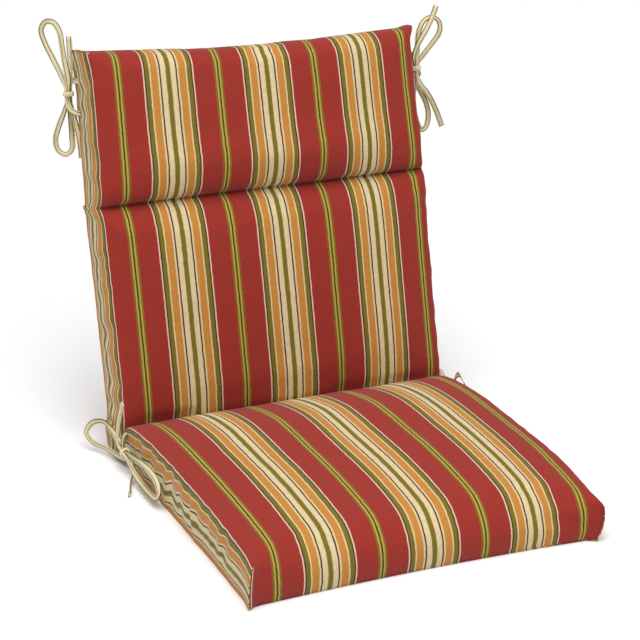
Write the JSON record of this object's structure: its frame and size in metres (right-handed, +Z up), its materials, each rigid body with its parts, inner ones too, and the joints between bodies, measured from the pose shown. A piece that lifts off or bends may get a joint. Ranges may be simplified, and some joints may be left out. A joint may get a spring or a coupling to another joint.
{
  "type": "outdoor chair cushion",
  "caption": "High-back outdoor chair cushion with seat, back and headrest sections in striped woven cloth, folded in use and held to a chair by tied straps.",
  "frame": {"origin": "bottom centre of the cushion's box, on the surface the seat lies on, ties left out", "axes": "+Z up, -Y towards the seat's front edge, +X towards the sitter's left; the back leans towards +Y"},
  "size_m": [0.6188, 0.707, 0.6278],
  "materials": {
    "striped_cloth": "matte",
    "fibre_fill": "matte",
    "sewing_thread": "matte",
    "tie_cloth": "matte"
  },
  "bodies": {
    "seat": {"seat_face_panel": "striped_cloth", "seat_underside_panel": "striped_cloth", "seat_fibre_fill": "fibre_fill", "fold_stitching": "sewing_thread", "tie_low_right_side_knot": "tie_cloth", "tie_low_right_side_strap_1": "tie_cloth", "tie_low_right_side_strap_2": "tie_cloth", "tie_low_left_side_knot": "tie_cloth", "tie_low_left_side_strap_1": "tie_cloth", "tie_low_left_side_strap_2": "tie_cloth"},
    "back": {"back_face_panel": "striped_cloth", "back_rear_panel": "striped_cloth", "back_fibre_fill": "fibre_fill", "back_lower_cover": "striped_cloth", "back_lower_fill": "fibre_fill"},
    "headrest": {"headrest_face_panel": "striped_cloth", "headrest_rear_panel": "striped_cloth", "headrest_fibre_fill": "fibre_fill", "crease_web": "striped_cloth", "crease_stitching": "sewing_thread", "tie_top_right_side_knot": "tie_cloth", "tie_top_right_side_strap_1": "tie_cloth", "tie_top_right_side_strap_2": "tie_cloth", "tie_top_left_side_knot": "tie_cloth", "tie_top_left_side_strap_1": "tie_cloth", "tie_top_left_side_strap_2": "tie_cloth"}
  },
  "joints": [
    {"name": "seat_back_fold", "type": "hinge", "parent": "seat", "child": "back", "pos_m": [0, 0.15604, 0.072], "axis": [1, 0, 0], "range_deg": [-77, 100], "deforming": ["back_lower_cover", "back_lower_fill"]},
    {"name": "headrest_crease", "type": "hinge", "parent": "back", "child": "headrest", "pos_m": [0, 0.26033, 0.36813], "axis": [1, 0, 0], "range_deg": [-40, 0], "deforming": ["crease_web"]}
  ]
}
